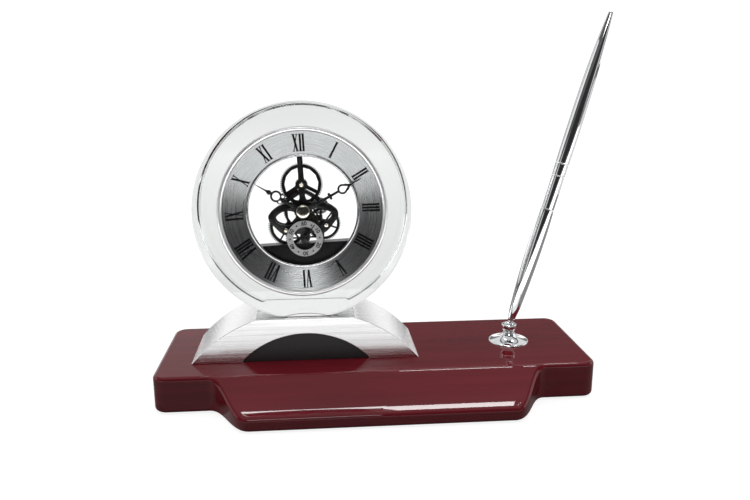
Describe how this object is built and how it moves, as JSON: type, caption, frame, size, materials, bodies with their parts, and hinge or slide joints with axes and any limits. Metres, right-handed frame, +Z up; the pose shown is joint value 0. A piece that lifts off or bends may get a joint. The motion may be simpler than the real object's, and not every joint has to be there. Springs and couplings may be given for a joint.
{
  "type": "crystal desk clock with pen holder",
  "caption": "Lacquered wooden desk stand with a brushed arch, a round crystal disc holding a pull-out skeleton clock, and a ball-jointed pen holder with a pen.",
  "frame": {"origin": "middle of the felt pad's underside, under the middle of the wooden base's 230 mm by 98 mm plan", "axes": "+X to the right seen from the front, +Y to the back, +Z up; the dial faces -Y and leans back 5.5 degrees"},
  "size_m": [0.2396, 0.098, 0.1988],
  "materials": {
    "rosewood_lacquer": "dark red-brown wood under clear high-gloss lacquer",
    "felt": "short black felt",
    "brushed_aluminium": "brushed along its length",
    "black_panel": "matte black",
    "steel": "plain turned steel",
    "crystal": "clear, polished, with bevelled edges",
    "chrome": "bright mirror polish",
    "satin_silver": "satin, turned round its middle",
    "clear_rubber": "soft translucent",
    "lens_glass": "clear and polished",
    "clear_plastic": "clear and glossy",
    "black_metal": "black with bright cut edges",
    "nickel": "bright nickel",
    "copper_wire": "fine enamelled wire",
    "magnet": "dark ground metal",
    "black_plastic": "matte black",
    "battery_jacket": "plain unmarked jacket",
    "circuit_board": "matte green"
  },
  "bodies": {
    "desk_stand": {"wooden_base": "rosewood_lacquer", "felt_pad": "felt", "aluminium_arch": "brushed_aluminium", "arch_panel": "black_panel", "arch_screw_left": "steel", "arch_screw_right": "steel", "crystal_disc": "crystal", "holder_dome": "chrome", "holder_cup": "chrome", "holder_nut": "steel", "holder_washer": "steel"},
    "clock_insert": {"bezel": "chrome", "case_shell": "satin_silver", "grip_gasket": "clear_rubber", "front_lens": "lens_glass", "chapter_ring": "satin_silver", "rear_cover": "clear_plastic", "battery_door": "black_plastic", "front_plate": "black_metal", "back_plate": "black_metal", "top_pillar": "nickel", "plate_screw_top": "nickel", "plate_screw_left": "nickel", "plate_screw_right": "nickel", "seconds_dial": "satin_silver", "battery_box": "black_plastic", "battery_cell": "battery_jacket", "battery_contact_left": "nickel", "battery_contact_right": "nickel", "stator": "steel", "coil_bobbin": "black_plastic", "coil_winding": "copper_wire", "circuit_module": "circuit_board"},
    "minute_train": {"centre_arbor": "steel", "minute_hand": "black_metal", "hand_cap": "nickel", "setting_knob": "black_plastic"},
    "hour_train": {"hour_wheel": "black_metal", "hour_hand": "black_metal"},
    "motion_train": {"minute_wheel": "black_metal"},
    "seconds_train": {"seconds_wheel": "black_metal", "second_hand": "black_metal"},
    "third_train": {"third_wheel": "black_metal"},
    "centre_train": {"centre_wheel": "black_metal"},
    "top_train": {"top_wheel": "black_metal"},
    "intermediate_train": {"intermediate_wheel": "black_metal"},
    "rotor_train": {"rotor": "magnet"},
    "swivel_seat": {"ball_seat": "black_plastic"},
    "ball_mount": {"swivel_ball": "chrome"},
    "pen": {"pen_point": "steel", "pen_lower_barrel": "chrome", "pen_sleeve": "chrome", "pen_band": "chrome", "pen_upper_barrel": "chrome", "pen_refill": "steel"}
  },
  "joints": [
    {"name": "insert_pull", "type": "slide", "parent": "desk_stand", "child": "clock_insert", "axis": [0, -0.9954, 0.0958], "range_m": [0, 0.03]},
    {"name": "minute_turn", "type": "hinge", "parent": "clock_insert", "child": "minute_train", "pos_m": [-0.0375, 0.0122, 0.09725], "axis": [0, 0.9954, -0.0958], "continuous": true},
    {"name": "hour_turn", "type": "hinge", "parent": "clock_insert", "child": "hour_train", "pos_m": [-0.0375, 0.0122, 0.09725], "axis": [0, 0.9954, -0.0958], "continuous": true},
    {"name": "motion_wheel_turn", "type": "hinge", "parent": "clock_insert", "child": "motion_train", "pos_m": [-0.03427, 0.01172, 0.09222], "axis": [0, 0.9954, -0.0958], "continuous": true},
    {"name": "seconds_turn", "type": "hinge", "parent": "clock_insert", "child": "seconds_train", "pos_m": [-0.03685, 0.01082, 0.08293], "axis": [0, 0.9954, -0.0958], "continuous": true},
    {"name": "third_wheel_turn", "type": "hinge", "parent": "clock_insert", "child": "third_train", "pos_m": [-0.04558, 0.01138, 0.08869], "axis": [0, 0.9954, -0.0958], "continuous": true},
    {"name": "centre_wheel_turn", "type": "hinge", "parent": "clock_insert", "child": "centre_train", "pos_m": [-0.0375, 0.0122, 0.09725], "axis": [0, 0.9954, -0.0958], "continuous": true},
    {"name": "top_wheel_turn", "type": "hinge", "parent": "clock_insert", "child": "top_train", "pos_m": [-0.03812, 0.01351, 0.11085], "axis": [0, 0.9954, -0.0958], "continuous": true},
    {"name": "intermediate_wheel_turn", "type": "hinge", "parent": "clock_insert", "child": "intermediate_train", "pos_m": [-0.02683, 0.01148, 0.08979], "axis": [0, 0.9954, -0.0958], "continuous": true},
    {"name": "rotor_turn", "type": "hinge", "parent": "clock_insert", "child": "rotor_train", "pos_m": [-0.02841, 0.01238, 0.09912], "axis": [0, 0.9954, -0.0958], "continuous": true},
    {"name": "holder_pan", "type": "hinge", "parent": "desk_stand", "child": "swivel_seat", "pos_m": [0.0769, 0.0116, 0.0286], "axis": [0, 0, 1], "continuous": true},
    {"name": "holder_tilt", "type": "hinge", "parent": "swivel_seat", "child": "ball_mount", "pos_m": [0.0769, 0.0116, 0.0286], "axis": [0, 1, 0], "range_deg": [-12, 12]},
    {"name": "pen_draw", "type": "slide", "parent": "ball_mount", "child": "pen", "axis": [0.2639, 0, 0.9646], "range_m": [0, 0.03]}
  ],
  "couplings": [
    {"joint": "hour_turn", "follows": "minute_turn", "ratio": 0.083333},
    {"joint": "motion_wheel_turn", "follows": "minute_turn", "ratio": -0.33333},
    {"joint": "third_wheel_turn", "follows": "seconds_turn", "ratio": -0.11111},
    {"joint": "centre_wheel_turn", "follows": "seconds_turn", "ratio": 0.016667},
    {"joint": "top_wheel_turn", "follows": "seconds_turn", "ratio": -0.05},
    {"joint": "intermediate_wheel_turn", "follows": "seconds_turn", "ratio": -3.75},
    {"joint": "rotor_turn", "follows": "seconds_turn", "ratio": 30}
  ]
}
